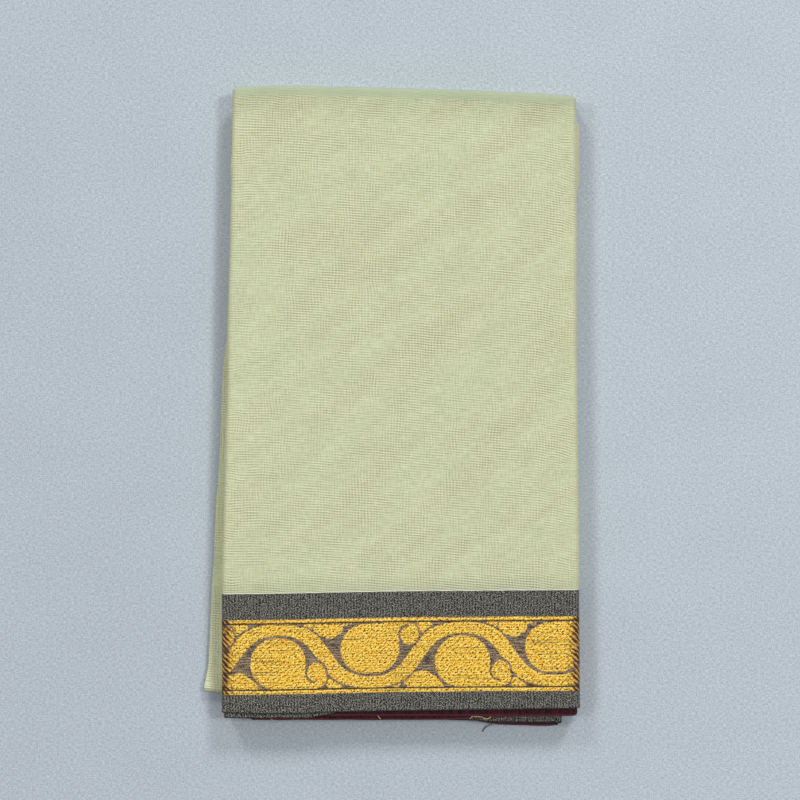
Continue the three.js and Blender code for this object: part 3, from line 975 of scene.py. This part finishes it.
# Loose ends at the selvedges: a crinkled end of the gold yarn, two short ones, a pale clipping and a
# dark one. Each is a single fine yarn, caught in the cloth at one end.
loose_ends = {
    "gold_crinkle": ((1.00, 0.80, 0.36, 1), 0.00030,
                     [(0.0762, -0.2999, 0.0166), (0.0782, -0.2977, 0.0172), (0.0801, -0.2968, 0.0169),
                      (0.0816, -0.2983, 0.0172), (0.0835, -0.2970, 0.0170), (0.0854, -0.2983, 0.0172),
                      (0.0869, -0.2975, 0.0169), (0.0888, -0.2990, 0.0171), (0.0917, -0.3002, 0.0163),
                      (0.0947, -0.2996, 0.0170), (0.0966, -0.2977, 0.0170)]),
    "gold_short_1": ((0.80, 0.52, 0.18, 1), 0.00018,
                     [(-0.1162, -0.2992, 0.0206), (-0.1154, -0.2998, 0.0207), (-0.1146, -0.2995, 0.0206)]),
    "gold_short_2": ((0.80, 0.52, 0.18, 1), 0.00018,
                     [(-0.0950, -0.2991, 0.0205), (-0.0942, -0.2985, 0.0207), (-0.0934, -0.2981, 0.0206)]),
    "pale_clipping": ((0.95, 0.88, 0.62, 1), 0.00022,
                      [(-0.0130, -0.2966, 0.0189), (-0.0118, -0.2981, 0.0187), (-0.0104, -0.2999, 0.0176)]),
    "dark_clipping": ((0.012, 0.018, 0.036, 1), 0.00042,
                      [(0.0985, -0.3068, 0.0064), (0.0955, -0.3088, 0.0040), (0.0930, -0.3105, 0.0014),
                       (0.0912, -0.3128, 0.0004), (0.0890, -0.3160, 0.0003)]),
}
for end_name, (colour, radius, points) in loose_ends.items():
    yarn_line = bpy.data.curves.new(end_name, "CURVE")
    yarn_line.dimensions = "3D"
    yarn_line.bevel_depth = radius
    yarn_line.bevel_resolution = 2
    yarn_line.use_fill_caps = True
    spline = yarn_line.splines.new("NURBS")
    spline.points.add(len(points) - 1)
    for point, place in zip(spline.points, points):
        point.co = (*place, 1)
    spline.use_endpoint_u = True
    spline.order_u = 3
    spline.resolution_u = 6
    yarn_finish, shader = start_finish(end_name, 0.5)
    along_yarn = add_node("ShaderNodeTexCoord", tree=shader.id_data).outputs["Object"]
    twist = add_node("ShaderNodeTexNoise", {"Vector": along_yarn, "Scale": 1800.0}).outputs["Fac"]
    connect(shaded(colour, ranged(twist, 0.35, 0.65, 0.6, 1.15)), shader, "Base Color")
    drawn = into_scene(end_name, yarn_line)
    yarn_mesh = bpy.data.meshes.new_from_object(drawn)
    bpy.data.objects.remove(drawn)
    yarn_mesh.materials.clear()
    yarn_mesh.materials.append(yarn_finish)
    yarn_end = into_scene(end_name, yarn_mesh)
    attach(yarn_end, "root")


# Floor: a plain pale blue-grey cloth, smooth and matt, spread flat under the pack. The light is
# soft studio light from four sides, stronger from behind, with a pale room round it.
floor_shape = bmesh.new()
bmesh.ops.create_grid(floor_shape, x_segments=1, y_segments=1, size=15)
floor_mesh = bpy.data.meshes.new("floor")
floor_shape.to_mesh(floor_mesh)
floor_shape.free()
floor = into_scene("floor", floor_mesh)
pale_cloth, shader = start_finish("pale_cloth", 0.9)
place_on_floor = add_node("ShaderNodeTexCoord", tree=shader.id_data).outputs["Object"]
weft = thread_noise(place_on_floor, 0.0011, 0.0030, detail=2.0, seed=2.4)
warp = thread_noise(place_on_floor, 0.0034, 0.0011, detail=2.0, seed=7.9)
nap = thread_noise(place_on_floor, 0.0009, 0.0009, detail=2.0, seed=5.6, rough=0.6)
patches = thread_noise(place_on_floor, 0.110, 0.080, detail=2.0, seed=3.3)
floor_shade = summed(summed(weft, warp), nap)
floor_colour = mixed(ranged(floor_shade, 1.10, 1.90), (0.372, 0.424, 0.474, 1), (0.592, 0.660, 0.722, 1))
# Painted light: the floor a little brighter towards the back and the right, darker towards the front and the
# left.
slope = add_node("ShaderNodeVectorMath", {0: place_on_floor, 1: (0.10, 0.09, 0.0)},
                 operation="DOT_PRODUCT").outputs["Value"]
slope = ranged(slope, -0.06, 0.06, -0.06, 0.06)
light = summed(ranged(patches, 0.3, 0.7, 0.950, 0.980), slope)
weave(shader, shaded(floor_colour, light), floor_shade, 0.25, 0.0006)
floor_mesh.materials.append(pale_cloth)

softboxes = {"right_back": ((0.80, 1.95, 1.0), 1.44), "left_back": ((-1.00, 1.95, 1.0), 1.04),
             "right_side": ((0.90, 0.25, 1.0), 0.96), "left_side": ((-1.10, 0.25, 1.0), 0.66)}
for side, (towards, strength) in softboxes.items():
    softbox = bpy.data.lights.new(side + "_softbox", "SUN")
    softbox.energy = strength
    softbox.angle = 0.20
    hung = into_scene(side + "_softbox", softbox)
    hung.location = Vector(towards).normalized() * 2
    hung.rotation_euler = Vector(towards).to_track_quat("Z", "Y").to_euler()
room = bpy.data.worlds.new("room")
room.use_nodes = True
glow = room.node_tree.nodes["Background"]
glow.inputs["Color"].default_value = (0.98, 0.99, 1.0, 1)
glow.inputs["Strength"].default_value = 0.33
bpy.context.scene.world = room
